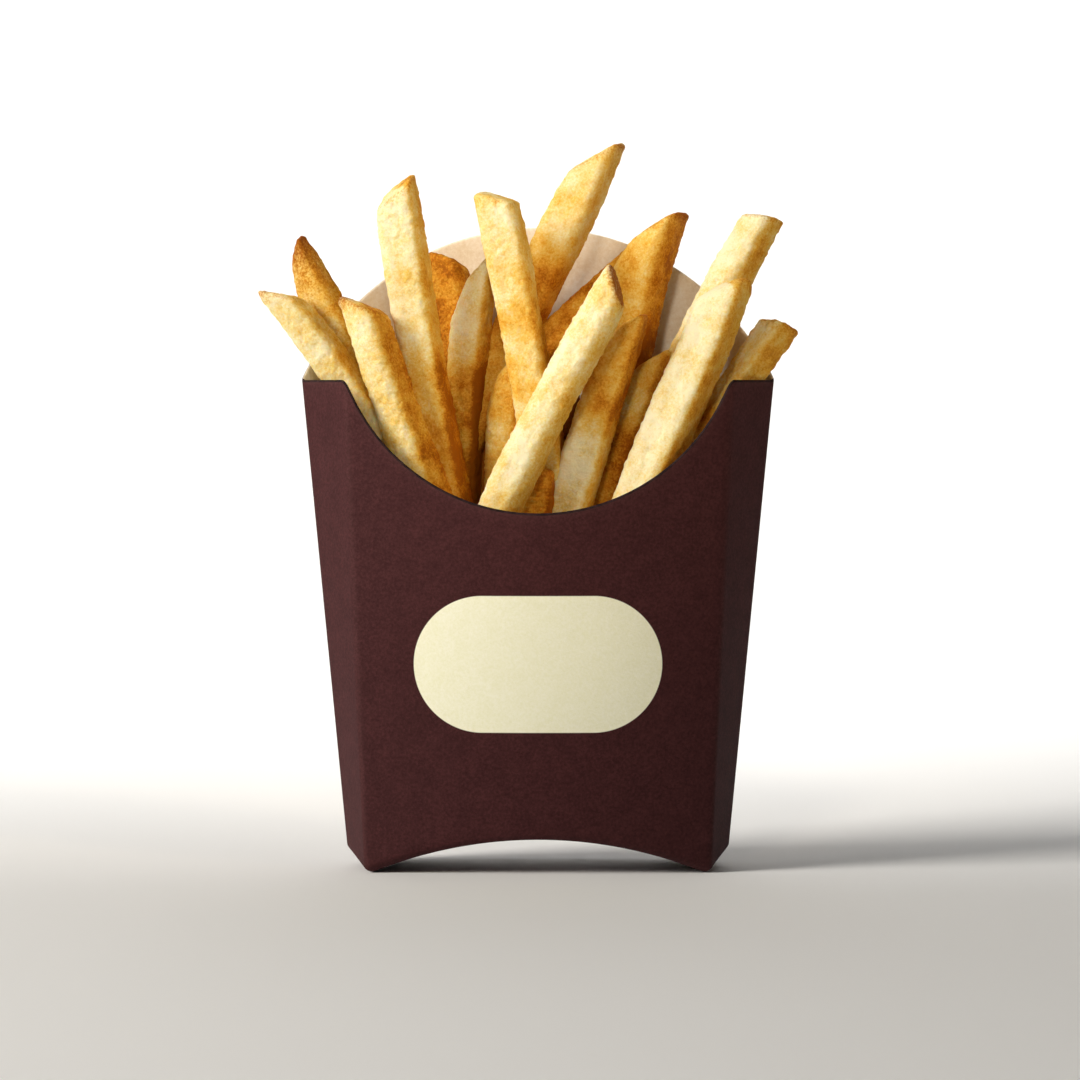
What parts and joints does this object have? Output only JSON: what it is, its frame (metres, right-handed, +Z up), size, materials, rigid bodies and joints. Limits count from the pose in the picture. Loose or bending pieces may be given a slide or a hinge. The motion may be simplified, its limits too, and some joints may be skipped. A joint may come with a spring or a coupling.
{
  "type": "french fries in a carton",
  "caption": "Straight cut french fries standing in a dark folded card scoop carton with a low scooped front, a high round back panel and a bare cream pill on the front.",
  "frame": {"origin": "on the table under the middle of the whole object's outline, at the level of the carton's four lower corners", "axes": "+Z up, -Y out of the scooped front panel, +X to the right seen from the front"},
  "size_m": [0.1132, 0.0432, 0.1535],
  "materials": {
    "printed_card": "matt dark maroon print on the outside, bare off-white board inside",
    "fried_potato": "deep fried potato, golden with pale faces and browned edges and tips"
  },
  "bodies": {
    "root": {"carton": "printed_card", "fries": "fried_potato"}
  },
  "joints": []
}
